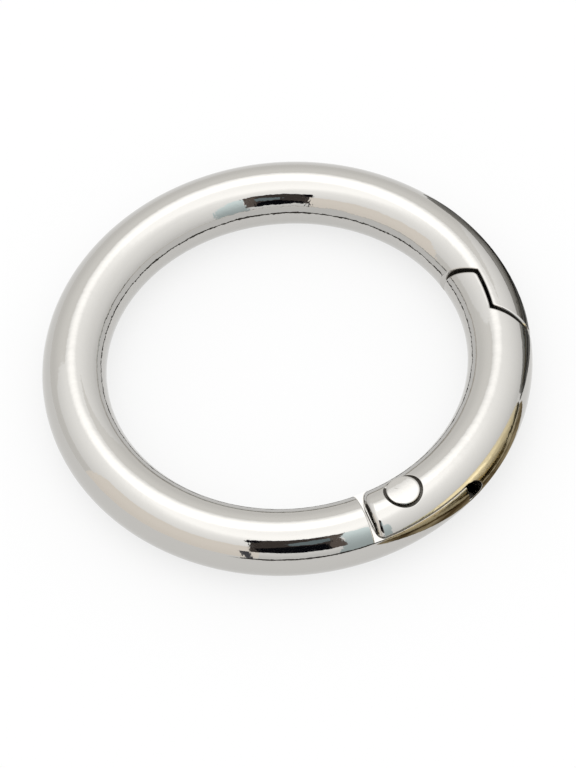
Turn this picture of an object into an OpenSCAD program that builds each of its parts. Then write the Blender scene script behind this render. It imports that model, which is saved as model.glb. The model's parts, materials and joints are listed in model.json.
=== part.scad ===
// Round spring-gate ring. A C-shaped ring of round stock is closed by a short curved gate.
// The gate swings inwards on a rivet and is pushed shut by a coil spring and a plunger that
// sit in a blind bore of the gate and press on the end of the ring's flat tongue.
// The ring lies flat: +Z is across the stock, the ring's centre is over the origin, and the
// stock rests on z = 0. Angles are counted from +X, anticlockwise seen from above.

/* [Ring] */
// Clear inside diameter of the closed ring
ring_inner_d = 28; // [25:0.5:60]
// Diameter of the round stock
stock_d = 5; // [4.6:0.1:6.5]

/* [Hinge] */
// Place of the hinge rivet round the ring
hinge_angle = -61.8; // [-80:0.1:-40]
// How far the rivet's axis lies inside the stock's centre line
pin_inset = 0.25; // [0:0.05:0.5]
// Rivet diameter
pin_d = 2.5; // [2:0.1:2.8]
// Radial running clearance of the rivet in the tongue
pin_clearance = 0.05; // [0.02:0.01:0.1]
// Width of the groove round each flush rivet head
groove_w = 0.22; // [0.1:0.01:0.3]
// Depth of that groove below the crest of the stock
groove_depth = 0.6; // [0.3:0.05:0.7]
// Height of the slot that forks the gate
slot_h = 2.5; // [2.3:0.1:2.8]
// Gap between the tongue and each side of the slot
tongue_clearance = 0.05; // [0.03:0.01:0.1]
// Length along the stock from the rivet back to the ring's end face
heel_len = 3.45; // [3.2:0.05:4]
// Gap between that face and the gate's heel
heel_gap = 0.2; // [0.1:0.05:0.4]
// Rounding of the rim of the gate's heel
heel_round = 0.55; // [0.2:0.05:0.8]
// Length along the stock from the rivet forward to the end of the tongue
tongue_reach = 3.9; // [3.7:0.05:4.2]
// Length along the stock from the rivet to the far end of the slot
slot_reach = 5.4; // [5.2:0.05:6]

/* [Latch] */
// Angle from the rivet round to the corner of the ring's socket
gate_sweep = 80.4; // [70:0.1:95]
// How far the step between lip and tip lies inside the stock's centre line
step_inset = 0.17; // [-0.3:0.01:0.5]
// Length of the ring's lip along the step
lip_len = 3.65; // [3:0.05:5]
// Gap between the gate's tip and the end of the socket
tip_gap = 0.2; // [0.1:0.05:0.4]
// Gap between the lip's end and the gate's shoulder
shoulder_gap = 0.25; // [0.1:0.05:0.5]
// Gap along the step
step_gap = 0.15; // [0.1:0.05:0.3]
// Rounding of the outer corner of the gate's tip
tip_round = 0.6; // [0.3:0.05:0.9]
// Rounding of the inner corner of the lip
lip_round = 0.3; // [0.15:0.05:0.5]

/* [Spring and plunger] */
// Diameter of the plunger's head
plunger_d = 1.8; // [1.5:0.05:1.9]
// Radial running clearance of the plunger in its bore
plunger_clearance = 0.05; // [0.03:0.01:0.1]
// Length of the plunger's head
plunger_head_len = 3.4; // [2.6:0.1:4]
// Length of the stem that centres the spring
stem_len = 1.3; // [0.8:0.1:1.8]
// Distance from the rivet's axis to the bore's axis, towards the middle of the ring
bore_offset = 0.9; // [0.75:0.05:1]
// Turn of the bore from the stock's direction at the rivet, towards the middle of the ring
bore_tilt = 7; // [5:0.5:9]
// Distance from the rivet to the flat end of the blind bore
bore_reach = 10.4; // [9.8:0.1:10.6]
// Distance from the rivet to the tongue's nose, where the plunger touches it
nose_reach = 3.4; // [3.2:0.05:3.5]
// How far the gate opens, in degrees
gate_travel = 25; // [15:1:28]
// Wire diameter of the spring
wire_d = 0.3; // [0.2:0.05:0.35]
// Radial clearance of the spring in the bore
spring_clearance = 0.1; // [0.05:0.01:0.15]
// Turns of the spring
spring_turns = 6; // [4:1:8]

/* [Hidden] */
$fn = 96;

// Play left where a moving piece only just touches another
touch_gap = 0.02;
// How far cutting shapes reach past what they cut
past = 2;
// Angles before the closed place and past the open one over which the nose keeps its shape
nose_before = 19;
nose_after = 8;
// Bevel of the plunger's front edge
plunger_edge = 0.15;
// Rise of each closed end turn of the spring, in wire diameters
closed_rise = 1.05;

stock_r = stock_d / 2;
ring_r = ring_inner_d / 2 + stock_r;
outer_r = ring_r + stock_r;

// Turns a length along the stock's centre line into an angle
function along(len) = len / ring_r * 180 / PI;
function polar(r, a) = [r * cos(a), r * sin(a)];
// Distance from the rivet to the point at radius rho that lies the angle a past the rivet
function from_pin(rho, a) = sqrt(rho * rho + pin_rho * pin_rho - 2 * rho * pin_rho * cos(a));
// Angle past the rivet at which the circle rho lies the distance l from the rivet
function angle_at(rho, l) = acos((rho * rho + pin_rho * pin_rho - l * l) / (2 * rho * pin_rho));

pin_rho = ring_r - pin_inset;
pin_xy = polar(pin_rho, hinge_angle);
pin_r = pin_d / 2;

// Hinge: the ring's end face is a radial plane, and the gate's heel runs beside it
body_end_angle = hinge_angle - along(heel_len);
pin_to_face = pin_rho * sin(along(heel_len));
heel_r = pin_to_face - heel_gap;
tongue_h = slot_h - 2 * tongue_clearance;
tongue_end_angle = hinge_angle + along(tongue_reach);
slot_end_angle = hinge_angle + along(slot_reach - slot_h / 2);

// Latch: every end face is an arc about the rivet, so the gate's tip clears the ring as it swings
step_rho = ring_r - step_inset;
gate_step_rho = step_rho - step_gap;
socket_l = from_pin(step_rho, gate_sweep);
lip_l = from_pin(step_rho, gate_sweep - along(lip_len));
tip_l = socket_l - tip_gap;
shoulder_l = lip_l - shoulder_gap;

bore_d = plunger_d + 2 * plunger_clearance;
spring_od = bore_d - 2 * spring_clearance;
spring_id = spring_od - 2 * wire_d;
stem_d = spring_id - spring_clearance;

// The nose of the tongue is an involute of a circle about the rivet with the bore's offset as its
// radius. The plunger then moves in proportion to the gate's angle. t is that angle.
function nose(t) = bore_offset * [-sin(t), cos(t)] + (nose_reach + bore_offset * t * PI / 180) * [cos(t), sin(t)];

// Stock bent round the ring from one angle to another
module stock_arc(from, to) {
    rotate([0, 0, from])
        rotate_extrude(angle = to - from)
            translate([ring_r, 0])
                circle(d = stock_d);
}

module about_pin() {
    translate([pin_xy[0], pin_xy[1], 0]) children();
}

// Puts its children on the rivet's axis, with X along the plunger's bore and Y to the ring's middle
module bore_frame() {
    about_pin() rotate([0, 0, hinge_angle + 90 + bore_tilt]) children();
}

// Prism across the whole stock with the given outline
module upright(points) {
    translate([0, 0, -stock_r - past])
        linear_extrude(height = stock_d + 2 * past)
            polygon(points);
}

// Post across the whole stock
module post(r) {
    translate([0, 0, -stock_r - past]) cylinder(r = r, h = stock_d + 2 * past);
}

// Offcut that rounds a corner with the radius r: c is the centre of the rounding, and the offcut
// lies between the directions a1 and a2 from it
module corner_offcut(c, r, a1, a2) {
    steps = 6;
    half = abs(a2 - a1) / 2;
    arc = [for (i = [1 : steps - 1]) c + polar(r, a1 + (a2 - a1) * i / steps)];
    upright(concat(
        [c + polar(r + touch_gap, a1)],
        arc,
        [c + polar(r + touch_gap, a2)],
        [c + polar(1.5 * r / cos(half), (a1 + a2) / 2)]
    ));
}

// Space that the gate's latch end takes in the ring: all within the lip's end arc, and the inner
// half as far as the socket's arc
module latch_space() {
    reach = outer_r + past;
    wedge = [[0, 0], polar(reach * 2, hinge_angle + 30), polar(reach * 2, hinge_angle + gate_sweep + 40)];
    intersection() {
        upright(wedge);
        union() {
            about_pin() post(lip_l);
            intersection() {
                about_pin() post(socket_l);
                post(step_rho);
            }
        }
    }
}

// The lip's inner corner, between the step and the lip's end arc
module lip_corner() {
    rho = step_rho + lip_round;
    c = polar(rho, hinge_angle + angle_at(rho, lip_l + lip_round));
    to_pin = pin_xy - c;
    corner_offcut(c, lip_round, atan2(-c[1], -c[0]), atan2(to_pin[1], to_pin[0]));
}

// The tip's outer corner, between the step and the tip's arc
module tip_corner() {
    rho = gate_step_rho - tip_round;
    c = polar(rho, hinge_angle + angle_at(rho, tip_l - tip_round));
    from = c - pin_xy;
    corner_offcut(c, tip_round, atan2(c[1], c[0]), atan2(from[1], from[0]));
}

module ring_body() {
    start = hinge_angle + gate_sweep - along(lip_len + stock_d);
    color("silver")
    translate([0, 0, stock_r])
    difference() {
        stock_arc(start, tongue_end_angle + 360);
        latch_space();
        lip_corner();
        // flats of the tongue, above and below, back to the end face
        for (side = [-1, 1])
            rotate([0, 0, body_end_angle])
                translate([ring_r, stock_d * 2, side * (tongue_h / 2 + stock_r)])
                    cube([stock_d * 3, stock_d * 4, stock_d], center = true);
        // nose of the tongue, with the notch that the plunger's head sits in
        bore_frame()
            upright(concat(
                [for (t = [-nose_before : 3 : gate_travel + nose_after]) nose(t)],
                [[nose_reach - bore_offset, stock_d * 2]],
                [[nose_reach + stock_d, stock_d * 2]],
                [[nose_reach + stock_d, nose(-nose_before)[1]]]
            ));
        about_pin() post(pin_r + pin_clearance);
    }
}

// Everything past the gate's heel: a flat parallel to the ring's end face on the outer half, and
// an arc about the rivet on the inner half, which lets the heel turn past that face
module heel_offcut() {
    reach = stock_d * 1.5;
    arc = [for (a = [180 : -7.5 : 90]) polar(heel_r, a)];
    about_pin()
        rotate([0, 0, body_end_angle + 90])
            upright(concat(
                [[-heel_r - reach, -reach], [-heel_r, -reach]],
                arc,
                [[0, reach], [-heel_r - reach, reach]]
            ));
}

// Ring-shaped offcut that rounds the rim of the heel
module heel_rim_offcut() {
    steps = 5;
    arc = [for (i = [1 : steps - 1])
        [stock_r - heel_round, heel_round] + polar(heel_round, -90 * i / steps)];
    rotate([0, 0, body_end_angle])
        translate([ring_r, heel_gap, 0])
            rotate([-90, 0, 0])
                rotate_extrude()
                    polygon(concat(
                        [[stock_r + past, -past], [stock_r + past, heel_round], [stock_r + touch_gap, heel_round]],
                        arc,
                        [[stock_r - heel_round, -touch_gap], [stock_r - heel_round, -past]]
                    ));
}

// Slot that forks the gate, right through from the outside to the inside, with a round end
module fork_slot() {
    from = body_end_angle - along(stock_r);
    near = ring_r - stock_d;
    far = ring_r + stock_d;
    mid = (from + slot_end_angle) / 2;
    translate([0, 0, -slot_h / 2])
        linear_extrude(height = slot_h)
            polygon([
                polar(near, from), polar(far, from), polar(far, mid),
                polar(far, slot_end_angle), polar(near, slot_end_angle)
            ]);
    rotate([0, 0, slot_end_angle])
        translate([near, 0, 0])
            rotate([0, 90, 0])
                cylinder(d = slot_h, h = far - near);
}

module gate() {
    color("gainsboro")
    translate([0, 0, stock_r])
    difference() {
        intersection() {
            stock_arc(body_end_angle - along(past), hinge_angle + gate_sweep + along(stock_d * 2));
            union() {
                about_pin() post(shoulder_l);
                intersection() {
                    about_pin() post(tip_l);
                    post(gate_step_rho);
                }
            }
        }
        tip_corner();
        heel_offcut();
        heel_rim_offcut();
        fork_slot();
        // hole for the rivet, and the groove round each of its heads
        about_pin() post(pin_r);
        for (side = [-1, 1])
            about_pin()
                translate([0, 0, side * (stock_d - groove_depth)])
                    cylinder(r = pin_r + groove_w, h = stock_d, center = true);
        // blind bore for the plunger and the spring
        bore_frame()
            translate([nose_reach, bore_offset, 0])
                rotate([0, 90, 0])
                    cylinder(d = bore_d, h = bore_reach - nose_reach);
    }
}

// The rivet's heads are ground flush with the round stock
module hinge_pin() {
    color("lightgray")
    translate([0, 0, stock_r])
    intersection() {
        about_pin() post(pin_r);
        stock_arc(hinge_angle - along(stock_d), hinge_angle + along(stock_d));
    }
}

module spring_plunger() {
    color("darkgray")
    translate([0, 0, stock_r])
    bore_frame()
        translate([nose_reach + touch_gap, bore_offset, 0])
            rotate([0, 90, 0])
                rotate_extrude()
                    polygon([
                        [0, 0], [plunger_d / 2 - plunger_edge, 0], [plunger_d / 2, plunger_edge],
                        [plunger_d / 2, plunger_head_len], [stem_d / 2, plunger_head_len],
                        [stem_d / 2, plunger_head_len + stem_len], [0, plunger_head_len + stem_len]
                    ]);
}

// Compression spring between the plunger's head and the end of the bore. Its first and last turns
// lie closer than the rest, as closed ends do.
module gate_spring() {
    from = nose_reach + 2 * touch_gap + plunger_head_len;
    free = bore_reach - touch_gap - from - wire_d;
    turn_r = (spring_od - wire_d) / 2;
    sides = 8;
    per_turn = 16;
    rings = spring_turns * per_turn;
    closed = wire_d * closed_rise;
    open = (free - 2 * closed) / (spring_turns - 2);
    function rise(turn) = turn < 1 ? closed * turn
        : turn > spring_turns - 1 ? free - closed * (spring_turns - turn)
        : closed + open * (turn - 1);
    points = [for (i = [0 : rings], j = [0 : sides - 1])
        let (a = 360 * i / per_turn, b = 360 * j / sides, r = turn_r + wire_d / 2 * cos(b))
        [r * cos(a), r * sin(a), wire_d / 2 + rise(i / per_turn) + wire_d / 2 * sin(b)]];
    skin = [for (i = [0 : rings - 1], j = [0 : sides - 1])
        let (k = (j + 1) % sides)
        [i * sides + j, i * sides + k, (i + 1) * sides + k, (i + 1) * sides + j]];
    ends = [[for (j = [sides - 1 : -1 : 0]) j], [for (j = [0 : sides - 1]) rings * sides + j]];
    color("dimgray")
    translate([0, 0, stock_r])
    bore_frame()
        translate([from, bore_offset, 0])
            rotate([0, 90, 0])
                polyhedron(points = points, faces = concat(skin, ends));
}

ring_body();
gate();
hinge_pin();
spring_plunger();
gate_spring();
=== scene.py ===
import json
from math import acos, asin, atan2, cos, hypot, pi, radians, sin, sqrt

import bmesh
import bpy
from mathutils import Matrix, Vector


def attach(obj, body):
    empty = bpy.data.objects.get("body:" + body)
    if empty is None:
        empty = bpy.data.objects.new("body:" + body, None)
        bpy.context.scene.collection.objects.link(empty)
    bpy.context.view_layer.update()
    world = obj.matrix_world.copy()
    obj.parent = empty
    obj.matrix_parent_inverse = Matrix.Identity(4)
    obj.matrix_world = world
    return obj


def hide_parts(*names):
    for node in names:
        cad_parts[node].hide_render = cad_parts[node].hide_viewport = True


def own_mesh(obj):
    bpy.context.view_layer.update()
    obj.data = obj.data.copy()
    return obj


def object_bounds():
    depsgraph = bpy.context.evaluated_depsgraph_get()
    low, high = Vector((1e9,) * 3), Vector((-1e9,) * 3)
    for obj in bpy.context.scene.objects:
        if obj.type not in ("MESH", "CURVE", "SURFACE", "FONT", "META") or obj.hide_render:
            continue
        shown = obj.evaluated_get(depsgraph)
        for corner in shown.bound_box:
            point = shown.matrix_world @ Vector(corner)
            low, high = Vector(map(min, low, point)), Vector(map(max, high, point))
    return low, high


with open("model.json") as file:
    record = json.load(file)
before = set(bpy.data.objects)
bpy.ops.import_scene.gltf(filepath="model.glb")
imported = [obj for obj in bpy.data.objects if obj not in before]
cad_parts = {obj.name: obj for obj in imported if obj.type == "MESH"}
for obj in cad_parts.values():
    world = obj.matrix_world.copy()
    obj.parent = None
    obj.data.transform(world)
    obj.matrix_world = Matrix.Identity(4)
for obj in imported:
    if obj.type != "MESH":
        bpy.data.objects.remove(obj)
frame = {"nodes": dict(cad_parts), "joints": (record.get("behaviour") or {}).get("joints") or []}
cad_low, cad_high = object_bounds()
MM = 0.001


# ---------------------------------------------------------------------------------------------
# The ring: round stock, pressure die cast in zinc alloy as an open C. Its hinge end is a flat
# face with a flat tongue that the gate's fork straddles, and its latch end is a lip over a
# socket. The rims are broken by tumbling, and the casting is polished and nickel plated.
stock_r = (cad_high.z - cad_low.z) / 2
ring_r = (cad_high.x - cad_low.x) / 2 - stock_r
hinge = next(joint for joint in frame["joints"] if joint["name"] == "gate_hinge")
pin = Vector((hinge["pos_m"][0], hinge["pos_m"][1], 0))
pin_rho, pin_angle = pin.length, atan2(pin.y, pin.x)

heel_len = 3.45 * MM  # from the rivet back to the flat face of the hinge end
tongue_h, tongue_reach, tongue_hole_r = 2.4 * MM, 3.9 * MM, 1.3 * MM
nose_reach = 3.4 * MM  # from the rivet to the nose that the plunger pushes on
bore_offset, bore_tilt = 0.9 * MM, radians(7)  # the plunger's bore beside the rivet
gate_sweep = radians(80.4)  # from the rivet to the end of the socket
lip_len, step_inset = 3.65 * MM, 0.17 * MM
lip_corner, lip_rim, ring_rim = 0.3 * MM, 0.24 * MM, 0.1 * MM  # roundings
ring_end = pin_angle - heel_len / ring_r
tongue_end = pin_angle + tongue_reach / ring_r
bore_angle = pin_angle + pi / 2 + bore_tilt
UP, DOWN = Vector((0, 0, 1)), Vector((0, 0, -1))


def polar(rho, phi, z=0.0):
    """A point at an angle round the ring, as far from its middle as rho"""
    return Vector((rho * cos(phi), rho * sin(phi), z))


def angle_of(point):
    """The angle round the ring at which a point lies"""
    return atan2(point.y, point.x)


def outward(phi, psi):
    """The way that the round stock faces, psi round its section from the ring's outside"""
    return Vector((cos(psi) * cos(phi), cos(psi) * sin(phi), sin(psi)))


def on_stock(phi, psi):
    """A point of the round stock's skin"""
    return polar(ring_r, phi) + stock_r * outward(phi, psi)


def section_angle(rho):
    """How far round the section its upper skin lies as far out as rho"""
    return acos((rho - ring_r) / stock_r)


def settle(point):
    """The nearest point on the round stock's skin"""
    middle = polar(ring_r, angle_of(point))
    return middle + stock_r * (point - middle).normalized()


def from_pin(point):
    """The way to a point from the rivet, in plan"""
    return Vector((point.x - pin.x, point.y - pin.y, 0)).normalized()


def pin_distance(rho, sweep):
    """How far from the rivet the circle rho is, a sweep past the rivet"""
    return sqrt(rho**2 + pin_rho**2 - 2 * rho * pin_rho * cos(sweep))


def pin_sweep(rho, distance):
    """The sweep past the rivet at which the circle rho is that far from it"""
    return acos((rho**2 + pin_rho**2 - distance**2) / (2 * rho * pin_rho))


def mix(a, b, share):
    """What lies between a and b, a share of the way from a"""
    return a + (b - a) * share


def spread(start, end, parts):
    """Evenly spaced numbers from start to end"""
    return [start + (end - start) * i / parts for i in range(parts + 1)]


def rounded(point, skin, walls, radius, turn):
    """A point of a rim's rounding: turn 0 lies on the skin, and 1 on the wall or walls"""
    if len(walls) == 1:
        wall, lean = walls[0], skin.angle(walls[0])
        middle = (skin + wall) / (1 + skin.dot(wall))
    else:
        wall, lean = (walls[0] + walls[1]) / (1 + walls[0].dot(walls[1])), pi / 2
        middle = Matrix((skin, *walls)).inverted() @ Vector((1, 1, 1))
    way = (skin * sin((1 - turn) * lean) + wall * sin(turn * lean)) / sin(lean)
    return point + radius * (way - middle)


def sunk(points):
    """The same points, at the height of the ring's mid-plane"""
    return [Vector((p.x, p.y, 0)) for p in points]


def circle(radius, z, parts=72):
    """Points round the rivet"""
    return [pin + Vector((radius * cos(a), radius * sin(a), z))
            for a in spread(0, 2 * pi, parts)[:-1]]


def weave(bm, rows, closed=False):
    """A skin through rows of points: the first row is drawn, and each next one is extruded"""
    chain = [bm.verts.new(p) for p in rows[0]]
    ends = chain[1:] + chain[:1] if closed else chain[1:]
    edges = [bm.edges.new(pair) for pair in zip(chain, ends)]
    for row in rows[1:]:
        made = bmesh.ops.extrude_edge_only(bm, edges=edges)["geom"]
        new = {v for v in made if isinstance(v, bmesh.types.BMVert)}
        chain = [next(e.other_vert(v) for e in v.link_edges if e.other_vert(v) in new)
                 for v in chain]
        for vert, point in zip(chain, row):
            vert.co = point
        ends = chain[1:] + chain[:1] if closed else chain[1:]
        edges = [bm.edges.get(pair) for pair in zip(chain, ends)]


def loop_edges(bm, points):
    """A closed chain of edges through points"""
    verts = [bm.verts.new(p) for p in points]
    return [bm.edges.new(pair) for pair in zip(verts, verts[1:] + verts[:1])]


def fill_flat(bm, edges):
    """A wall within the outer loop of edges and round the inner one"""
    bmesh.ops.triangle_fill(bm, use_beauty=True, use_dissolve=False, edges=edges, normal=UP)


def weld(bm):
    """Joins the strips of skin where their points meet"""
    nearly_nothing = 0.0001 * MM
    bmesh.ops.remove_doubles(bm, verts=bm.verts, dist=nearly_nothing)
    bmesh.ops.dissolve_degenerate(bm, edges=bm.edges, dist=nearly_nothing)


def mirrored(bm):
    """Adds the lower half to an upper half, and stands the part on the ground"""
    weld(bm)
    lower = bmesh.ops.duplicate(bm, geom=bm.verts[:] + bm.edges[:] + bm.faces[:])["geom"]
    verts = [v for v in lower if isinstance(v, bmesh.types.BMVert)]
    bmesh.ops.scale(bm, vec=(1, 1, -1), verts=verts)
    weld(bm)
    bmesh.ops.recalc_face_normals(bm, faces=bm.faces)
    bmesh.ops.translate(bm, vec=(0, 0, stock_r), verts=bm.verts)


def finished(name, bm):
    """The piece in the scene, from its bmesh"""
    mesh = bpy.data.meshes.new(name)
    bm.to_mesh(mesh)
    bm.free()
    piece = bpy.data.objects.new(name, mesh)
    bpy.context.scene.collection.objects.link(piece)
    return piece


def from_middle(point):
    """The way to a point of a finished piece from the middle line of the stock"""
    return point - polar(ring_r, angle_of(point), stock_r)


def true_normals(piece):
    """Shades the piece smooth, and a skin on the round stock by the stock's own round"""
    on_skin, same_side, sharp = 0.0005 * MM, 0.6, radians(42)
    mesh = piece.data
    mesh.shade_smooth()
    mesh.set_sharp_from_angle(angle=sharp)
    normals = [Vector(n.vector) for n in mesh.corner_normals]
    for corner, loop in enumerate(mesh.loops):
        out = from_middle(mesh.vertices[loop.vertex_index].co)
        if abs(out.length - stock_r) < on_skin and out.angle(normals[corner]) < same_side:
            normals[corner] = out.normalized()
    mesh.normals_split_custom_set(normals)


def draw_ring():
    bm = bmesh.new()
    corner_parts, step_parts, rim_parts, bent_lines = 5, 9, 4, 9
    edge_parts, lip_parts, inner_parts = 5, 16, 15  # lines, by the part of the section
    bent_rows, true_rows, tongue_rows = 24, 243, 18
    tongue_psi = asin(tongue_h / 2 / stock_r)
    step_rho = ring_r - step_inset
    step_psi = section_angle(step_rho)
    socket_l = pin_distance(step_rho, gate_sweep)
    lip_l = pin_distance(step_rho, gate_sweep - lip_len / ring_r)

    # the rounded corner of the lip, in plan, from the lip's end to the step
    rho = step_rho + lip_corner
    corner = polar(rho, pin_angle + pin_sweep(rho, lip_l + lip_corner))
    turns = spread(angle_of(pin - corner), angle_of(-corner), corner_parts)
    corner_points = [corner + lip_corner * polar(1, a) for a in turns]
    corner_psi = [section_angle(p.length) for p in corner_points]

    # lines that run along the stock, by their place round its section
    lines = spread(0, tongue_psi, edge_parts)
    tongue_line = len(lines) - 1
    lines += spread(tongue_psi, corner_psi[0], lip_parts)[1:]
    corner_line = len(lines) - 1
    lines += corner_psi[1:-1] + [step_psi]
    step_line = len(lines) - 1
    lines += spread(step_psi, pi - tongue_psi, inner_parts)[1:]
    inner_line = len(lines) - 1
    lines += spread(pi - tongue_psi, pi, edge_parts)[1:]
    rhos = [ring_r + stock_r * cos(psi) for psi in lines]
    last = len(lines) - 1

    # the rim of the latch end as (point, skin, walls): lip, rounded corner, step, socket
    rim = []
    for k in range(corner_line):
        phi = pin_angle + pin_sweep(rhos[k], lip_l)
        point = on_stock(phi, lines[k])
        rim.append((point, outward(phi, lines[k]), [-from_pin(point)]))
    for point, turn, psi in zip(corner_points, turns, corner_psi):
        phi = angle_of(point)
        rim.append((on_stock(phi, psi), outward(phi, psi), [polar(1, turn)]))
    step_start = angle_of(corner_points[-1])
    step_end = pin_angle + pin_sweep(step_rho, socket_l)
    for phi in spread(step_start, step_end, step_parts)[1:-1]:
        rim.append((on_stock(phi, step_psi), outward(phi, step_psi), [-polar(1, phi)]))
    point = on_stock(step_end, step_psi)
    rim.append((point, outward(step_end, step_psi), [-polar(1, step_end), -from_pin(point)]))
    for k in range(step_line + 1, last + 1):
        phi = pin_angle + pin_sweep(rhos[k], socket_l)
        point = on_stock(phi, lines[k])
        rim.append((point, outward(phi, lines[k]), [-from_pin(point)]))
    radii = [mix(lip_rim, ring_rim, min(1, k / corner_line)) for k in range(len(rim))]
    rim_rows = [[rounded(*place, radius, turn) for place, radius in zip(rim, radii)]
                for turn in spread(0, 1, rim_parts)]
    rim_rows[0] = [settle(p) for p in rim_rows[0]]
    weave(bm, rim_rows + [sunk(rim_rows[-1])])
    edge = rim_rows[0]

    # skin of the lip, from its end to the socket: its lines bend to meet the step's mitre
    mitre = edge[step_line + step_parts]
    mitre_psi = section_angle(hypot(mitre.x, mitre.y))
    first_bent = step_line - bent_lines

    def bent(k):
        if k <= first_bent:
            return lines[k]
        share = (lines[k] - lines[first_bent]) / (step_psi - lines[first_bent])
        return mix(lines[first_bent], mitre_psi, share)
    rows = [edge[:step_line + 1]]
    for s in range(1, step_parts):
        row = [on_stock(mix(angle_of(edge[k]), angle_of(mitre), s / step_parts), bent(k))
               for k in range(step_line)]
        rows.append(row + [edge[step_line + s]])
    socket_row = [on_stock(angle_of(mitre), bent(k)) for k in range(step_line)] + [mitre]
    weave(bm, rows + [socket_row])

    # skin of the whole stock, from the socket round to the hinge end: its lines run true again
    # from an eighth of a turn on
    socket_row += edge[step_line + step_parts + 1:]
    true_from, true_share, half_bent = radians(42), 0.1, 0.5
    rows = [socket_row]
    for share in spread(0, 1, bent_rows)[1:]:
        row = []
        for k, p in enumerate(socket_row):
            near = share <= true_share and k <= step_line
            psi = mix(bent(k), lines[k], half_bent) if near else lines[k]
            row.append(on_stock(mix(angle_of(p), true_from, share), psi))
        rows.append(row)
    true_to = ring_end + 2 * pi - 3 * ring_rim / ring_r
    for phi in spread(true_from, true_to, true_rows)[1:]:
        rows.append([on_stock(phi, psi) for psi in lines])

    # rim of the flat end face, above the tongue
    tangent = polar(1, ring_end + pi / 2)
    end_rows = []
    for turn in spread(0, 1, rim_parts):
        low = asin(tongue_h / 2 / (stock_r - ring_rim * (1 - cos(turn * pi / 2))))
        psis = [mix(low, pi - low, (psi - tongue_psi) / (pi - 2 * tongue_psi))
                for psi in lines[tongue_line:inner_line + 1]]
        end_rows.append([rounded(on_stock(ring_end, psi), outward(ring_end, psi), [tangent],
                                 ring_rim, turn) for psi in psis])
    end_rows[0] = [settle(p) for p in end_rows[0]]
    back, back_in = angle_of(end_rows[0][0]), angle_of(end_rows[0][-1])
    end_rows[0][0] = on_stock(back, tongue_psi)
    end_rows[0][-1] = on_stock(back_in, pi - tongue_psi)
    rows.append([on_stock(back, psi) for psi in lines[:tongue_line]] + end_rows[0]
                + [on_stock(back_in, psi) for psi in lines[inner_line + 1:]])
    weave(bm, rows)
    weave(bm, end_rows)
    foot = [Vector((p.x, p.y, tongue_h / 2)) for p in end_rows[-1]]
    weave(bm, [end_rows[-1], foot])

    # the tongue's nose, a spiral cam beside the rivet that the plunger pushes on
    bore_way, bore_side = polar(1, bore_angle), polar(1, bore_angle + pi / 2)
    nose_turns = range(-19, 36, 2)  # degrees, from before the closed place to past the open one

    def nose(turn):
        p = bore_offset * Vector((-sin(turn), cos(turn)))
        p += (nose_reach + bore_offset * turn) * Vector((cos(turn), sin(turn)))
        return pin + p.x * bore_way + p.y * bore_side
    nose_points = [nose(radians(turn)) for turn in nose_turns]

    def nose_angle(rho):
        for a, b in zip(nose_points, nose_points[1:]):
            if min(a.length, b.length) <= rho <= max(a.length, b.length):
                return angle_of(a.lerp(b, (rho - a.length) / (b.length - a.length)))
        return angle_of(nose_points[-1])

    # the tongue: its outer and inner skins run on from the stock, and its sides are flat
    shares = spread(0, 1, tongue_rows)
    outer_rows = [[on_stock(mix(back, tongue_end, s), psi) for psi in lines[:tongue_line + 1]]
                  for s in shares]
    inner_rows = [[on_stock(mix(back_in, nose_angle(rhos[k]), s), lines[k])
                   for k in range(inner_line, last + 1)] for s in shares]
    weave(bm, outer_rows)
    weave(bm, inner_rows)
    level = tongue_h / 2 * UP
    outline = [p for p in nose_points if p.length > rhos[inner_line]]
    notch = outline[0]
    far, small_step = notch, 0.002 * MM
    while angle_of(far) < tongue_end:
        far = far + small_step * bore_way
    end_top = outer_rows[-1] + [far + level, notch + level] + [p + level for p in outline[1:]]
    end_top += inner_rows[-1]
    weave(bm, [end_top, sunk(end_top)])
    side = [row[-1] for row in outer_rows[::-1]] + [row[0] for row in end_rows[1:]]
    side += foot[1:-1] + [row[-1] for row in end_rows[:0:-1]] + [row[0] for row in inner_rows]
    side += [p + level for p in outline[:0:-1]] + [notch + level, far + level]
    hole = circle(tongue_hole_r, tongue_h / 2)
    weave(bm, [hole, sunk(hole)], closed=True)
    fill_flat(bm, loop_edges(bm, side) + loop_edges(bm, hole))
    mirrored(bm)
    return finished("ring_casting", bm)


def linear(code):
    """A colour from its sRGB hex code"""
    parts = [int(code[i:i + 2], 16) / 255 for i in (1, 3, 5)]
    return [c / 12.92 if c <= 0.04045 else ((c + 0.055) / 1.055)**2.4 for c in parts] + [1]


def add_node(tree, kind, sockets=None, **settings):
    """A node with its settings. A socket takes a value, or a link from another's socket."""
    made = tree.nodes.new(kind)
    for name, value in settings.items():
        setattr(made, name, value)
    for name, value in (sockets or {}).items():
        if isinstance(value, bpy.types.NodeSocket):
            tree.links.new(value, made.inputs[name])
        else:
            made.inputs[name].default_value = value
    return made


def new_material(name):
    material = bpy.data.materials.new(name)
    material.use_nodes = True
    material.node_tree.nodes.clear()
    return material, material.node_tree


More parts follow.
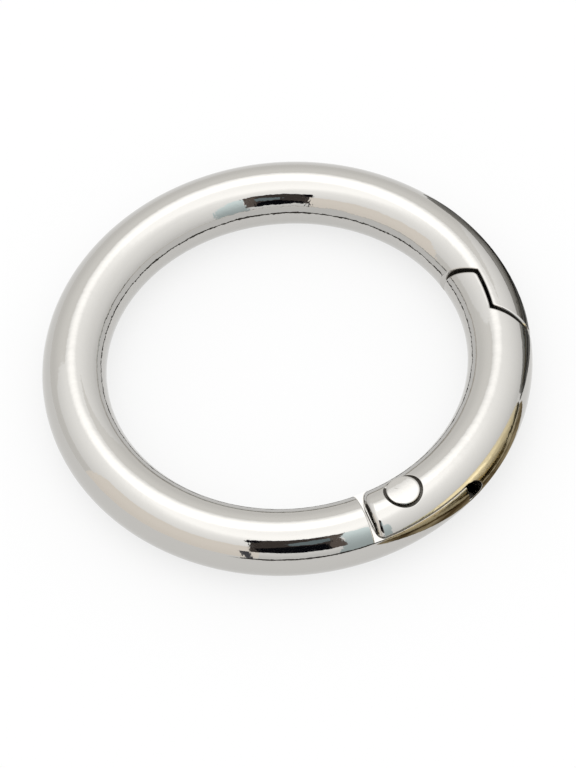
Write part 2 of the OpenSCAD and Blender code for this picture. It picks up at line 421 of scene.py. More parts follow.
def metal(name, colour, wave_mm, wave_height_mm, haze):
    """Metal whose surface wavers, most on the ring's inner side, which no wheel polishes flat.
    Handling smears its haze, in patches a few millimetres wide, to a little over twice that."""
    material, tree = new_material(name)
    inner_skin, next_skin, inner_wave = ring_r - 0.95 * stock_r, ring_r - 0.6 * stock_r, 2.7
    patch, least, most, smeared = 2.5 * MM, 0.35, 0.75, 2.2
    place = add_node(tree, "ShaderNodeTexCoord").outputs["Object"]
    wave = add_node(tree, "ShaderNodeTexNoise", {
        "Vector": place, "Scale": 1 / (wave_mm * MM), "Detail": 5.0, "Roughness": 0.62})
    flat = add_node(tree, "ShaderNodeVectorMath", {0: place, 1: (1, 1, 0)}, operation="MULTIPLY")
    rho = add_node(tree, "ShaderNodeVectorMath", {0: flat.outputs["Vector"]}, operation="LENGTH")
    height = add_node(tree, "ShaderNodeMapRange", {
        "Value": rho.outputs["Value"], "From Min": inner_skin, "From Max": next_skin,
        "To Min": inner_wave * wave_height_mm * MM, "To Max": wave_height_mm * MM})
    uneven = add_node(tree, "ShaderNodeMath", {
        0: wave.outputs["Fac"], 1: height.outputs["Result"]}, operation="MULTIPLY")
    bump = add_node(tree, "ShaderNodeBump", {
        "Height": uneven.outputs["Value"], "Strength": 1.0, "Distance": 1.0})
    smear = add_node(tree, "ShaderNodeTexNoise", {
        "Vector": place, "Scale": 1 / patch, "Detail": 5.0, "Roughness": 0.6})
    rough = add_node(tree, "ShaderNodeMapRange", {
        "Value": smear.outputs["Fac"], "From Min": least, "From Max": most,
        "To Min": haze, "To Max": smeared * haze})
    shader = add_node(tree, "ShaderNodeBsdfPrincipled", {
        "Base Color": linear(colour), "Metallic": 1.0, "Roughness": rough.outputs["Result"],
        "Normal": bump.outputs["Normal"]})
    add_node(tree, "ShaderNodeOutputMaterial", {"Surface": shader.outputs["BSDF"]})
    return material


# Bright nickel on the polished casting: a mirror, a little warmer than chrome, in which straight
# things waver. Deep in the gaps the same plate lies on the rough skin of the mould, dull, and its
# colour there is darkened as painted shade, but for the tongue's flats and the gate's heel, which
# are polished too.
bright_nickel = metal("nickel_plated_casting", "#C0BEBA", 5.0, 0.03, 0.035)
gap_nickel_painted_shade = metal("nickel_unpolished_painted_shade", "#625F5A", 0.5, 0.01, 0.45)


def plate_casting(piece, polished):
    """Bright nickel outside and on the faces that are polished in a gap, and the dull one,
    darkened as painted shade, on the others that lie wholly inside a gap"""
    gap_depth = 0.1 * MM
    piece.data.materials.append(bright_nickel)
    piece.data.materials.append(gap_nickel_painted_shade)
    for face in piece.data.polygons:
        height = max(from_middle(piece.data.vertices[i].co).length for i in face.vertices)
        in_gap = height < stock_r - gap_depth
        face.material_index = 1 if in_gap and not polished(face) else 0


def on_tongue(face):
    """Whether a face is one of the tongue's flat sides"""
    flat, just_past_half = 0.99, 0.51
    off_middle = abs(face.center.z - stock_r)
    return abs(face.normal.z) > flat and off_middle < just_past_half * tongue_h


ring = draw_ring()
true_normals(ring)
plate_casting(ring, on_tongue)
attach(ring, "ring")
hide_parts("ring_body")


# ---------------------------------------------------------------------------------------------
# The gate: the same round stock, die cast, a little over a fifth of the ring. Its hinge end is
# forked by a milled slot and has a well rounded heel, and its latch end is stepped to lie in the
# socket. A bore runs from the slot into it. Its rims are softer than the ring's, but for the lip.
slot_r, slot_reach = 1.25 * MM, 5.4 * MM
heel_gap, heel_round = 0.36 * MM, 0.6 * MM
tip_gap, shoulder_gap, step_gap, tip_round = 0.26 * MM, 0.27 * MM, 0.21 * MM, 0.6 * MM
slot_rim, gate_rim = 0.08 * MM, 0.17 * MM
pin_r = 1.25 * MM
groove_w, groove_depth, groove_rim, groove_wall = 0.22 * MM, 0.6 * MM, 0.06 * MM, 0.12 * MM
bore_r, bore_reach = 0.95 * MM, 10.4 * MM
slot_end = pin_angle + (slot_reach - slot_r) / ring_r
heel_r = pin_rho * sin(heel_len / ring_r) - heel_gap


def heel(psi, turn):
    """A point of the heel's rounded rim, the way it faces and the way that the end faces. The
    end is flat on its outer half, and an arc about the rivet on its inner half."""
    rho = ring_r + stock_r * cos(psi)
    phi = ring_end + asin(heel_gap / rho)
    wall = -polar(1, ring_end + pi / 2)
    if (polar(rho, phi) - pin).dot(polar(1, ring_end)) < 0:
        phi = pin_angle - pin_sweep(rho, heel_r)
        wall = from_pin(polar(rho, phi))
    skin = outward(phi, psi)
    point = rounded(on_stock(phi, psi), skin, [wall], heel_round, turn)
    return (settle(point) if turn == 0 else point), skin.slerp(wall, turn), wall


def heel_psi(turn, low, high):
    """Where round the section the heel's rim meets the slot's wall"""
    halvings = 40
    rising = heel(high, turn)[0].z > heel(low, turn)[0].z
    for _ in range(halvings):
        middle = (low + high) / 2
        if (heel(middle, turn)[0].z < slot_r) == rising:
            low = middle
        else:
            high = middle
    return low


def stock_top(point):
    """Height of the round stock's skin over its mid-plane"""
    return sqrt(stock_r**2 - (hypot(point.x, point.y) - ring_r)**2)


def cut_seat(bm):
    """The rivet's seat: a groove round its flush head, sunk into the skin"""
    near, collar_r, far = 1.66 * MM, 1.6 * MM, 2.4 * MM
    over_slot, nearly_nothing = slot_r + 0.1 * MM, 0.001 * MM
    rim_turns = (0.34, 0.67, 1)

    def distance(vert):
        return (vert.co.xy - pin.xy).length
    covered = [f for f in bm.faces if min(v.co.z for v in f.verts) > over_slot
               and min(distance(v) for v in f.verts) < near]
    bmesh.ops.delete(bm, geom=covered, context="FACES")
    jagged = [e for e in bm.edges if e.is_boundary and e.verts[0].co.z > over_slot
              and distance(e.verts[0]) < far]

    def on_skin(radius, drop=0.0):
        return [p + (stock_top(p) - drop) * UP for p in circle(radius, 0)]

    def on_floor(radius):
        return [p + min(stock_r - groove_depth, stock_top(p) - groove_wall) * UP
                for p in circle(radius, 0)]
    groove_r = pin_r + groove_w
    rows = [on_skin(collar_r), on_skin(groove_r + groove_rim)]
    for turn in rim_turns:
        rows.append(on_skin(groove_r + groove_rim * (1 - sin(turn * pi / 2)),
                            groove_rim * (1 - cos(turn * pi / 2))))
    weave(bm, rows + [on_floor(groove_r), on_floor(pin_r), circle(pin_r, slot_r)], closed=True)
    collar = [e for e in bm.edges if e.is_boundary and e.verts[0].co.z > over_slot
              and all(abs(distance(v) - collar_r) < nearly_nothing for v in e.verts)]
    fill_flat(bm, jagged + collar)


def draw_gate():
    bm = bmesh.new()
    corner_parts, step_parts, rim_parts, heel_parts, ear_parts = 6, 10, 4, 7, 24
    shoulder_parts, tip_parts, skin_rows = 19, 14, 44
    outer_ear, inner_ear = (radians(15), radians(70)), (radians(110), radians(165))
    slot_psi = asin(slot_r / stock_r)
    socket_rho = ring_r - step_inset
    step_rho = socket_rho - step_gap
    step_psi = section_angle(step_rho)
    tip_l = pin_distance(socket_rho, gate_sweep) - tip_gap
    shoulder_l = pin_distance(socket_rho, gate_sweep - lip_len / ring_r) - shoulder_gap

    # the rounded corner of the tip, in plan, from the step to the tip's end
    rho = step_rho - tip_round
    corner = polar(rho, pin_angle + pin_sweep(rho, tip_l - tip_round))
    corner_ways = [polar(1, a) for a in spread(angle_of(corner), angle_of(corner - pin),
                                               corner_parts)]
    corner_points = [corner + tip_round * way for way in corner_ways]
    corner_psi = [section_angle(p.length) for p in corner_points]

    # lines that run along the stock, by their place round its section
    round_end = [radians(a) for a in (90, 75, 60, 45, 30, 15)]
    round_psi = [asin(cos(a) * slot_r / stock_r) for a in round_end]
    low_line = len(round_psi)
    lines = round_psi + spread(slot_psi, step_psi, shoulder_parts)
    step_line = len(lines) - 1
    lines += corner_psi[1:]
    corner_line = len(lines) - 1
    lines += spread(corner_psi[-1], pi - slot_psi, tip_parts)[1:]
    high_line = len(lines) - 1
    lines += [pi - psi for psi in round_psi[::-1]]
    last = len(lines) - 1
    rhos = [ring_r + stock_r * cos(psi) for psi in lines]
    rim_turns = spread(0, 1, rim_parts)

    # the rim of the latch end as (point, skin, walls): shoulder, step, rounded corner, tip
    rim = []
    for k in range(step_line):
        phi = pin_angle + pin_sweep(rhos[k], shoulder_l)
        point = on_stock(phi, lines[k])
        rim.append((point, outward(phi, lines[k]), [from_pin(point)]))
    step_start = pin_angle + pin_sweep(step_rho, shoulder_l)
    point = on_stock(step_start, step_psi)
    rim.append((point, outward(step_start, step_psi), [from_pin(point), polar(1, step_start)]))
    for phi in spread(step_start, angle_of(corner), step_parts)[1:-1]:
        rim.append((on_stock(phi, step_psi), outward(phi, step_psi), [polar(1, phi)]))
    for point, way, psi in zip(corner_points, corner_ways, corner_psi):
        phi = angle_of(point)
        rim.append((on_stock(phi, psi), outward(phi, psi), [way]))
    for k in range(corner_line + 1, last + 1):
        phi = pin_angle + pin_sweep(rhos[k], tip_l)
        point = on_stock(phi, lines[k])
        rim.append((point, outward(phi, lines[k]), [from_pin(point)]))
    rim_rows = [[rounded(*place, gate_rim, turn) for place in rim] for turn in rim_turns]
    rim_rows[0] = [settle(p) for p in rim_rows[0]]
    weave(bm, rim_rows + [sunk(rim_rows[-1])])
    edge = rim_rows[0]

    # the rounding of the heel, from its end face to the skin
    heel_rows, heel_ends = [], []
    for turn in spread(1, 0, heel_parts):
        low, high = heel_psi(turn, *outer_ear), heel_psi(turn, *inner_ear)
        row = [heel(mix(low, high, (psi - slot_psi) / (pi - 2 * slot_psi)), turn)
               for psi in lines[low_line:high_line + 1]]
        heel_rows.append([point for point, _, _ in row])
        heel_ends.append((row[0], row[-1]))
        if turn == 1:
            end_face = row[1:-1]

    # the slot's rim, one chain from its round end's outside, by the heel, to its inside
    slot_way = polar(1, slot_end + pi / 2)
    bends, inner_bends = [[asin(slot_r * sin(a) / rho) + slot_end
                           for a, rho in zip(round_end, far)] for far in (rhos, rhos[::-1])]

    def round_rim(phi, psi, a):
        return on_stock(phi, psi), outward(phi, psi), [-sin(a) * slot_way - cos(a) * UP]

    def straight_rim(heel_point, psi):
        return [(on_stock(phi, psi), outward(phi, psi), [DOWN])
                for phi in spread(angle_of(heel_point), slot_end, ear_parts)]
    outer_side = straight_rim(heel_ends[-1][0][0], slot_psi)
    inner_side = straight_rim(heel_ends[-1][1][0], pi - slot_psi)
    chain = [round_rim(*place) for place in zip(bends, round_psi, round_end)]
    i_side = len(chain)
    chain += outer_side[::-1]
    i_heel = len(chain)
    chain += [(outer[0], outer[1], [DOWN]) for outer, _ in heel_ends[-2::-1]]
    i_face = len(chain)
    chain += [(Vector((p.x, p.y, slot_r)), wall, [DOWN]) for p, _, wall in end_face]
    i_inner_heel = len(chain)
    chain += [(inner[0], inner[1], [DOWN]) for _, inner in heel_ends[:-1]]
    i_inner_side = len(chain)
    chain += inner_side
    i_inner_round = len(chain)
    chain += [round_rim(phi, pi - psi, a)
              for phi, psi, a in zip(inner_bends[::-1], round_psi[::-1], round_end[::-1])]
    slot_rows = [[rounded(*place, slot_rim, turn) for place in chain] for turn in rim_turns]
    brink, sill = slot_rows[0], slot_rows[-1]
    for i in [*range(i_heel), *range(i_inner_side, len(chain))]:
        brink[i] = settle(brink[i])
    weave(bm, slot_rows)

    # the ears: the heel's rounding, then the stock's skin on each side of the slot
    for i in range(heel_parts):
        heel_rows[i][0] = brink[i_face - 1 - i]
        heel_rows[i][-1] = brink[i_inner_heel + i]
    heel_rows[-1][0], heel_rows[-1][-1] = brink[i_heel - 1], brink[i_inner_side]
    ear_rows = heel_rows[:]
    for s in range(1, ear_parts + 1):
        row = [on_stock(mix(angle_of(p), slot_end, s / ear_parts), lines[low_line + k])
               for k, p in enumerate(heel_rows[-1])]
        row[0], row[-1] = brink[i_heel - 1 - s], brink[i_inner_side + s]
        ear_rows.append(row)
    weave(bm, ear_rows)
    foot = [heel_rows[0][0]] + brink[i_face:i_inner_heel] + [heel_rows[0][-1]]
    weave(bm, [heel_rows[0], foot])

    # the rest of the skin, from the slot's round end to the shoulder: near the step its lines
    # bend to meet the mitre
    mitre = edge[step_line]
    mitre_psi = section_angle(hypot(mitre.x, mitre.y))
    last_bent, bend_share = corner_line + 4, 0.9

    def bent(k):
        if k >= last_bent:
            return lines[k]
        share = (lines[k] - step_psi) / (lines[last_bent] - step_psi)
        return mix(mitre_psi, lines[last_bent], share)
    starts = bends + [slot_end] * (high_line - low_line + 1) + inner_bends[::-1]
    shoulder_row = edge[:step_line + 1] + [on_stock(angle_of(mitre), bent(k))
                                           for k in range(step_line + 1, last + 1)]
    rows = [brink[:i_side] + ear_rows[-1] + brink[i_inner_round:]]
    for share in spread(0, 1, skin_rows)[1:-1]:
        row = []
        for k, psi in enumerate(lines):
            if k > step_line and share > bend_share:
                psi = mix(psi, bent(k), (share - bend_share) / (1 - bend_share))
            row.append(on_stock(mix(starts[k], angle_of(shoulder_row[k]), share), psi))
        rows.append(row)
    weave(bm, rows + [shoulder_row])

    # the tip's skin, on the inner side of the step
    tip_row = edge[step_line + step_parts:]
    rows = [shoulder_row[step_line:]]
    for s in range(1, step_parts):
        row = [on_stock(mix(angle_of(mitre), angle_of(p), s / step_parts), bent(step_line + k))
               for k, p in enumerate(tip_row)]
        rows.append([edge[step_line + s]] + row[1:])
    weave(bm, rows + [tip_row])

    # the slot's round end and its flat wall, with the hole for the rivet
    weave(bm, [sill[:i_side + 1], sill[:i_inner_round - 2:-1]])
    hole = loop_edges(bm, circle(pin_r, slot_r))
    fill_flat(bm, loop_edges(bm, sill[i_side:i_inner_round]) + hole)
    weld(bm)
    cut_seat(bm)
    mirrored(bm)
    return finished("gate_casting", bm)


def along_bore(distance):
    """Puts a part's Z along the bore, and its foot that far along it from the rivet"""
    return (Matrix.Translation(pin + stock_r * UP) @ Matrix.Rotation(bore_angle, 4, "Z")
            @ Matrix.Translation((distance, bore_offset, 0)) @ Matrix.Rotation(pi / 2, 4, "Y"))


def bore(piece):
    """Drills the plunger's bore into the piece, from the slot on, beside the rivet"""
    length, sides = bore_reach - nose_reach, 48
    bm = bmesh.new()
    bmesh.ops.create_cone(bm, cap_ends=True, segments=sides, radius1=bore_r, radius2=bore_r,
                          depth=length, matrix=along_bore(nose_reach + length / 2))
    drill = finished("drill", bm)
    hole = piece.modifiers.new("hole", "BOOLEAN")
    hole.object, hole.operation, hole.solver = drill, "DIFFERENCE", "EXACT"
    bpy.context.view_layer.update()
    evaluated = piece.evaluated_get(bpy.context.evaluated_depsgraph_get())
    drilled = bpy.data.meshes.new_from_object(evaluated)
    piece.modifiers.clear()
    piece.data = drilled
    bpy.data.objects.remove(drill)


def on_heel(face):
    """Whether a face is of the gate's heel"""
    past_round = 1.2
    return angle_of(face.center) < ring_end + (heel_gap + past_round * heel_round) / ring_r


gate = draw_gate()
bore(gate)
true_normals(gate)
plate_casting(gate, on_heel)
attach(gate, "swing_gate")
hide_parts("gate")


# ---------------------------------------------------------------------------------------------
# The rivet: turned steel, pressed through both ears of the gate and plated with it. Both heads
# are ground almost to the round stock's own curve, with a slightly broken rim.
def draw_rivet():
    bm = bmesh.new()
    rim, flat_height, curved, rim_parts = 0.07 * MM, stock_r - 0.07 * MM, 0.7, 3
    radii_mm = (0.1, 0.3, 0.5, 0.7, 0.9, 1.05)

    def head(radius, drop=0.0):
        return [p + (mix(stock_top(p), flat_height, curved) - drop) * UP
                for p in circle(radius, 0)]
    rows = [head(radius_mm * MM) for radius_mm in radii_mm]
    rows.append(head(pin_r - rim))
    for turn in spread(0, 1, rim_parts)[1:]:
        rows.append(head(pin_r - rim * (1 - sin(turn * pi / 2)), rim * (1 - cos(turn * pi / 2))))
    rows.append(circle(pin_r, 0))
    weave(bm, rows, closed=True)
    middle = [e for e in bm.edges if e.is_boundary and e.verts[0].co.z > stock_r / 2]
    bmesh.ops.edgeloop_fill(bm, edges=middle)
    mirrored(bm)
    return finished("rivet", bm)


rivet = draw_rivet()
true_normals(rivet)
rivet.data.materials.append(bright_nickel)
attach(rivet, "swing_gate")
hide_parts("hinge_pin")


# ---------------------------------------------------------------------------------------------
# The plunger: a steel peg, turned on a lathe and left unplated. It slides in the gate's bore,
# and the spring presses it on the tongue's nose.

# Turned steel: greyer than the plating, with a satin that blurs what it mirrors.
turned_steel = metal("turned_steel", "#A9A6A0", 1.0, 0.004, 0.2)
frame["nodes"]["spring_plunger"].data.materials.clear()
frame["nodes"]["spring_plunger"].data.materials.append(turned_steel)


# ---------------------------------------------------------------------------------------------
# The spring: drawn steel wire, coiled with closed ends, between the plunger's head and the blind
# end of the bore. The plunger shortens it as the gate opens, but here it is drawn at one length
# and moves with the gate.
wire_r, coil_r, turns = 0.15 * MM, 0.7 * MM, 6
spring_from, spring_to = 6.84 * MM, 10.38 * MM  # from the rivet, along the bore


def draw_spring():
    bm = bmesh.new()
    wire_sides, steps = 12, 32
    closed = 2.1 * wire_r
    length = spring_to - spring_from
    pitch = (length - 2 * wire_r - 2 * closed) / (turns - 2)
    section = bmesh.ops.create_circle(bm, segments=wire_sides, radius=wire_r, matrix=(
        Matrix.Translation((coil_r, 0, wire_r)) @ Matrix.Rotation(pi / 2, 4, "X")))
    geom = section["verts"] + list({e for v in section["verts"] for e in v.link_edges})
    for rise, count in ((closed, 1), (pitch, turns - 2), (closed, 1)):
        geom = bmesh.ops.spin(bm, geom=geom, cent=(0, 0, 0), axis=UP, dvec=rise / steps * UP,
                              angle=2 * pi * count, steps=steps * count)["geom_last"]
    bmesh.ops.holes_fill(bm, edges=[e for e in bm.edges if e.is_boundary], sides=wire_sides)
    bmesh.ops.recalc_face_normals(bm, faces=bm.faces)
    bmesh.ops.transform(bm, verts=bm.verts, matrix=along_bore(spring_from))
    return finished("coil_spring", bm)


# Drawn wire: as grey as the plunger, and with the same satin.
spring = draw_spring()
spring.data.shade_smooth()
spring.data.materials.append(metal("drawn_steel", "#A9A6A0", 1.0, 0.004, 0.2))
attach(spring, "swing_gate")
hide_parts("gate_spring")
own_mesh(spring)


# ---------------------------------------------------------------------------------------------
# The table top: white paper over a light table. The glow from below makes the paper as white as
# it can be, and leaves the ring only a faint shadow.
def stage_piece(name, bm, material):
    piece = finished(name, bm)
    piece.data.materials.append(material)
    return piece


white_paper, tree = new_material("white_paper")
matte = add_node(tree, "ShaderNodeBsdfDiffuse", {"Color": linear("#7C7C7C"), "Roughness": 0.0})
glow = add_node(tree, "ShaderNodeEmission", {"Color": linear("#FFFFFF"), "Strength": 0.72})
both = add_node(tree, "ShaderNodeAddShader", {0: matte.outputs["BSDF"],
                                              1: glow.outputs["Emission"]})
add_node(tree, "ShaderNodeOutputMaterial", {"Surface": both.outputs["Shader"]})
paper = bmesh.new()
bmesh.ops.create_grid(paper, x_segments=1, y_segments=1, size=2.0)
stage_piece("table_top", paper, white_paper)


# ---------------------------------------------------------------------------------------------
# The room: white, and evenly lit from all round. It brightens towards the ceiling, and there is
# a soft lamp on the ceiling over the table's far side.
room = bpy.data.worlds.new("light_room")
bpy.context.scene.world = room
room.use_nodes = True
tree = room.node_tree
way = add_node(tree, "ShaderNodeTexCoord").outputs["Generated"]
height = add_node(tree, "ShaderNodeSeparateXYZ", {"Vector": way}).outputs["Z"]
levels = add_node(tree, "ShaderNodeFloatCurve", {"Value": height})
horizon, ceiling = (0.0, 0.45), (1.0, 0.87)
curve = levels.mapping.curves[0]
for place in ((0.09, 0.46), (0.28, 0.525), (0.5, 0.59), (0.7, 0.66), (0.82, 0.725), (0.89, 0.82),
              (0.94, 0.92)):
    curve.points.new(*place)
curve.points[0].location, curve.points[-1].location = horizon, ceiling
levels.mapping.update()
lamp_way = outward(radians(100), radians(66))
lamp_edge, lamp_core, lamp_strength = cos(radians(20)), cos(radians(7)), 0.52
toward = add_node(tree, "ShaderNodeVectorMath", {0: way, 1: lamp_way}, operation="DOT_PRODUCT")
lamp = add_node(tree, "ShaderNodeMapRange", {
    "Value": toward.outputs["Value"], "From Min": lamp_edge, "From Max": lamp_core,
    "To Min": 0.0, "To Max": lamp_strength}, interpolation_type="SMOOTHSTEP")
light = add_node(tree, "ShaderNodeMath", {
    0: levels.outputs["Value"], 1: 2.0, 2: lamp.outputs["Result"]}, operation="MULTIPLY_ADD")
background = tree.nodes["Background"]
background.inputs["Color"].default_value = linear("#FFFFFF")
tree.links.new(light.outputs["Value"], background.inputs["Strength"])


# ---------------------------------------------------------------------------------------------
# The room's far wall and its door: painted, a little warmer than the light. They bend round the
# table, and are seen only in the plating.
def reflected_only(piece):
    """Shows in reflections, and neither in the picture nor in the light on the table"""
    piece.visible_camera = piece.visible_diffuse = piece.visible_shadow = False
    return piece


def lit_paint(name, colour, strengths=(1.0, 1.0), levels=(0.0, 1.0), one_sided=False):
    """Paint that shines by itself, from one strength at its first level over the table to
    another at its second. One-sided paint is clear from behind."""
    material, tree = new_material(name)
    place = add_node(tree, "ShaderNodeTexCoord").outputs["Object"]
    height = add_node(tree, "ShaderNodeSeparateXYZ", {"Vector": place}).outputs["Z"]
    strength = add_node(tree, "ShaderNodeMapRange", {
        "Value": height, "From Min": levels[0], "From Max": levels[1],
        "To Min": strengths[0], "To Max": strengths[1]}, interpolation_type="SMOOTHSTEP")
    shine = add_node(tree, "ShaderNodeEmission", {
        "Color": linear(colour), "Strength": strength.outputs["Result"]})
    surface = shine.outputs["Emission"]
    if one_sided:
        behind = add_node(tree, "ShaderNodeNewGeometry").outputs["Backfacing"]
        clear = add_node(tree, "ShaderNodeBsdfTransparent").outputs["BSDF"]
        surface = add_node(tree, "ShaderNodeMixShader", {
            0: behind, 1: surface, 2: clear}).outputs["Shader"]
    add_node(tree, "ShaderNodeOutputMaterial", {"Surface": surface})
    return material


def lit_card(name, rows, paint):
    """A card through rows of points"""
    bm = bmesh.new()
    weave(bm, rows)
    reflected_only(stage_piece(name, bm, paint))


def lit_disc(name, middle, radius, paint):
    """A disc that lies on the table"""
    bm = bmesh.new()
    sides = 120
    bmesh.ops.create_circle(bm, cap_ends=True, segments=sides, radius=radius,
                            matrix=Matrix.Translation(middle))
    reflected_only(stage_piece(name, bm, paint))


def panel(azimuths, top, distance):
    """Rows of points of a panel round the table, up to an elevation at each azimuth"""
    foot, across, upwards = -4, 40, 16
    return [[distance * outward(radians(azimuth), radians(mix(foot, top(azimuth), share)))
             for azimuth in spread(*azimuths, across)] for share in spread(0, 1, upwards)]


def wall_top(azimuth):
    """Level over the table's far side, and lower where the wall runs off to the left"""
    lowest, level, level_to = 20, 47, 124
    return max(lowest, level - max(0, azimuth - level_to))


def door_top(_):
    """The same all along"""
    return 38


lit_card("far_wall", panel((62, 182), wall_top, 1.2),
         lit_paint("white_paint", "#FFFEFC", (0.92, 1.1), (0.2, 0.85)))
lit_card("warm_door", panel((-179, -107), door_top, 1.0),
         lit_paint("cream_paint", "#FFF8F0", (1.08, 1.16), (0.0, 0.5)))


# ---------------------------------------------------------------------------------------------
# A hoop of white card on the table, in the ring's opening, with a dark grey band round its foot,
# whose edge waves. The band is painted shade: it gives the dark line of shade round the ring's
# inner side. The hoop too is seen only in the plating, and only from outside.
hoop_r, hoop_parts = 9.2 * MM, 360
hoop_lift, hoop_h, band_h, band_shake, band_waves = 0.02 * MM, 3.6 * MM, 0.82 * MM, 0.15 * MM, 31


def hoop_line(height, shake=0.0, waves=0):
    """A line round the hoop, with a number of waves in its height"""
    return [polar(hoop_r, phi, height + shake * sin(waves * phi))
            for phi in spread(0, 2 * pi, hoop_parts)]


hoop_foot, hoop_top = hoop_line(hoop_lift), hoop_line(hoop_h)
band_edge = hoop_line(band_h, band_shake, band_waves)
lit_card("hoop_shade_band", [band_edge, hoop_foot], lit_paint("painted_shade_band", "#3E3B37", one_sided=True))
lit_card("hoop_card", [hoop_top, band_edge],
         lit_paint("white_card", "#FFFFFF", (0.85, 0.85), one_sided=True))


# ---------------------------------------------------------------------------------------------
# The camera stand on the table's near side: a dark camera on a brown post, with grey and blue
# cloths and a pale screen beside it, on a board. It too is seen only in the plating.
def upright(name, colour, y, outline, strengths=(1.0, 1.0)):
    """A card that stands y mm from the ring's middle, by points (x, z) of it in mm. It shines
    with one strength at the table and another 100 mm up."""
    points = [Vector((x * MM, y * MM, z * MM)) for x, z in outline]
    half = len(points) // 2
    high = 100 * MM
    paint = lit_paint(name, colour, strengths, (0, high))
    lit_card(name, [points[:half], points[half:][::-1]], paint)


upright("pale_blue_screen", "#E0EFF2", -62,
        [(12, 1), (18, 50), (16, 100), (34, 98), (40, 50), (36, 1)], (0.68, 1.5))
upright("grey_cloth", "#4A4441", -61,
        [(-21, 22), (-24, 62), (-27, 92), (21, 98), (15, 60), (15, 20)])
upright("brown_post", "#6E645E", -60.5,
        [(8, 18), (11, 50), (9, 98), (22, 99), (16, 62), (16, 21)])
upright("camera_corner", "#101015", -60.4,
        [(-26, 66), (-29, 80), (-28, 93), (-22, 90), (-20, 76), (-23, 64)])
upright("blue_cloth", "#7F8D92", -60.2,
        [(-5, 48), (-8, 58), (4, 70), (12, 72), (10, 52), (4, 46)])
upright("camera_front", "#0C0D12", -60,
        [(-17, 22), (-19, 36), (-6, 44), (8, 42), (10, 19), (-3, 19)])
upright("camera_top", "#15151A", -60,
        [(-28, 86), (-28, 93), (-5, 96), (16, 100), (16, 96), (-5, 91)])
upright("board_edge", "#56575C", -59,
        [(-20.5, -0.5), (-24, 22), (-20, 21), (-17.8, -0.5)])
upright("board_foot", "#3E3C3A", -58,
        [(-22, -0.6), (-22, 2.2), (4, 2.8), (28, 2.2), (28, -0.6), (4, -0.6)])
shadow_lift = 0.03 * MM
shadow = [[Vector((x * MM, y * MM, shadow_lift)) for x in (-21, 0, 30)] for y in (-58, -46)]
lit_card("board_shadow", shadow, lit_paint("board_shadow", "#5E5B57"))


# ---------------------------------------------------------------------------------------------
# Two more rings of the same size on the table, one of brass and one plated black, which almost
# touch this one. Each ring's colour darkens towards its foot as painted shade and lightens towards
# its top as painted light, and each stands on a disc of painted shade. They too are seen only in
# the plating.
def tinted(tree, value, bounds, low_colour, high_colour):
    """A colour that goes from one to another as a value rises through its bounds"""
    share = add_node(tree, "ShaderNodeMapRange", {
        "Value": value, "From Min": bounds[0], "From Max": bounds[1]})
    low, high = 6, 7  # a Mix node's two colour sockets, which share their names with others
    tint = add_node(tree, "ShaderNodeMix", {
        "Factor": share.outputs["Result"], low: linear(low_colour), high: linear(high_colour)},
        data_type="RGBA")
    return tint.outputs[2]


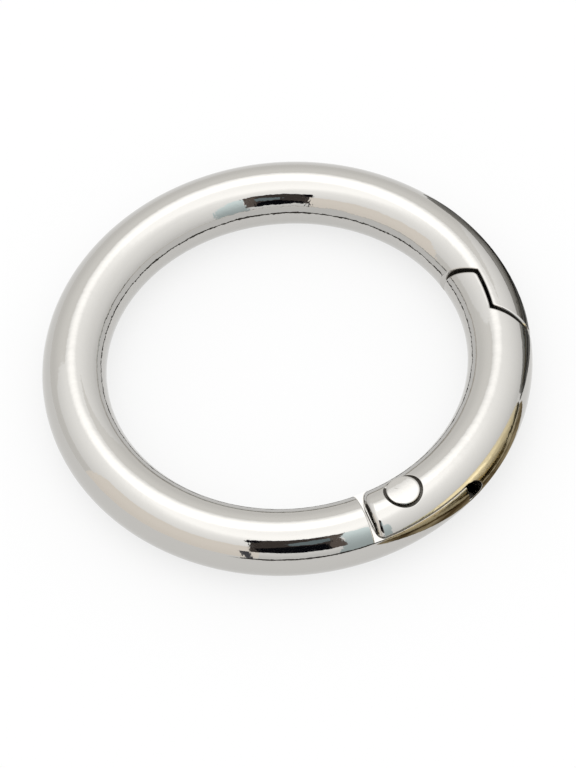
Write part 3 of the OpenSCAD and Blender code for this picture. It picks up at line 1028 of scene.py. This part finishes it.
def ring_beside(name, shaded_foot_colour, lit_top_colour, shade_colour, azimuth, roughness):
    gap, shade_wider, lift, foot, top = 0.4 * MM, 0.8 * MM, 0.02 * MM, 0.5 * MM, 3.8 * MM
    dent, dent_depth, patch, least, most = 3.5 * MM, 0.35 * MM, 5 * MM, 0.42, 0.62
    sides, steps = 48, 180
    middle = polar(2 * (ring_r + stock_r) + gap, radians(azimuth), stock_r)

    material, tree = new_material(name)
    place = add_node(tree, "ShaderNodeTexCoord").outputs["Object"]
    height = add_node(tree, "ShaderNodeSeparateXYZ", {"Vector": place}).outputs["Z"]
    dents = add_node(tree, "ShaderNodeTexNoise", {
        "Vector": place, "Scale": 1 / dent, "Detail": 3.0, "Roughness": 0.55})
    bump = add_node(tree, "ShaderNodeBump", {
        "Height": dents.outputs["Fac"], "Strength": 1.0, "Distance": dent_depth})
    # Painted shade and light: dark at the ring's foot, light at its top
    shader = add_node(tree, "ShaderNodeBsdfPrincipled", {
        "Base Color": tinted(tree, height, (foot, top), shaded_foot_colour, lit_top_colour),
        "Metallic": 1.0, "Roughness": roughness, "Normal": bump.outputs["Normal"]})
    add_node(tree, "ShaderNodeOutputMaterial", {"Surface": shader.outputs["BSDF"]})
    bm = bmesh.new()
    section = bmesh.ops.create_circle(bm, segments=sides, radius=stock_r, matrix=(
        Matrix.Translation(middle + ring_r * Vector((1, 0, 0))) @ Matrix.Rotation(pi / 2, 4, "X")))
    edges = list({e for v in section["verts"] for e in v.link_edges})
    bmesh.ops.spin(bm, geom=section["verts"] + edges, cent=middle, axis=UP, angle=2 * pi,
                   steps=steps, use_merge=True)
    bmesh.ops.recalc_face_normals(bm, faces=bm.faces)
    reflected_only(stage_piece(name, bm, material)).data.shade_smooth()

    # A disc of painted shade on the table under the ring, in patches of two colours
    shade, tree = new_material(name + "_shade")
    place = add_node(tree, "ShaderNodeTexCoord").outputs["Object"]
    patches = add_node(tree, "ShaderNodeTexNoise", {
        "Vector": place, "Scale": 1 / patch, "Detail": 3.0, "Roughness": 0.6})
    dull = add_node(tree, "ShaderNodeEmission", {"Strength": 1.0, "Color": tinted(
        tree, patches.outputs["Fac"], (least, most), shaded_foot_colour, shade_colour)})
    add_node(tree, "ShaderNodeOutputMaterial", {"Surface": dull.outputs["Emission"]})
    lit_disc(name + "_shade", (middle.x, middle.y, lift), ring_r + stock_r + shade_wider,
             shade)


ring_beside("brass_ring", "#5A4A30", "#EFE0B8", "#A8997A", azimuth=-38, roughness=0.18)
ring_beside("black_ring", "#4C4C4A", "#7E7D7A", "#8A8986", azimuth=27, roughness=0.3)


# ---------------------------------------------------------------------------------------------
# The camera: a long lens, held well over the ring and a little turned in the hand.
tilt, turn, distance = radians(54.91), radians(-5.45), 0.2324
aim_right, aim_up = 0.106 * MM, -1.818 * MM  # of the view's middle, from the ring's
centre = Vector((0, 0, stock_r))
side, over = Vector((1, 0, 0)), Vector((0, sin(tilt), cos(tilt)))
right = cos(turn) * side + sin(turn) * over
up = cos(turn) * over - sin(turn) * side
eye = centre - distance * Vector((0, cos(tilt), -sin(tilt)))
back = (eye - (centre + aim_right * right + aim_up * up)).normalized()
right = up.cross(back).normalized()
lens = bpy.data.cameras.new("camera")
lens.lens, lens.sensor_width, lens.clip_start = 140.625, 36, 0.001
camera = bpy.data.objects.new("camera", lens)
turned = Matrix((right, back.cross(right), back)).transposed().to_4x4()
camera.matrix_world = Matrix.Translation(eye) @ turned
bpy.context.scene.collection.objects.link(camera)
bpy.context.scene.camera = camera
bpy.context.scene.view_settings.view_transform = "Standard"
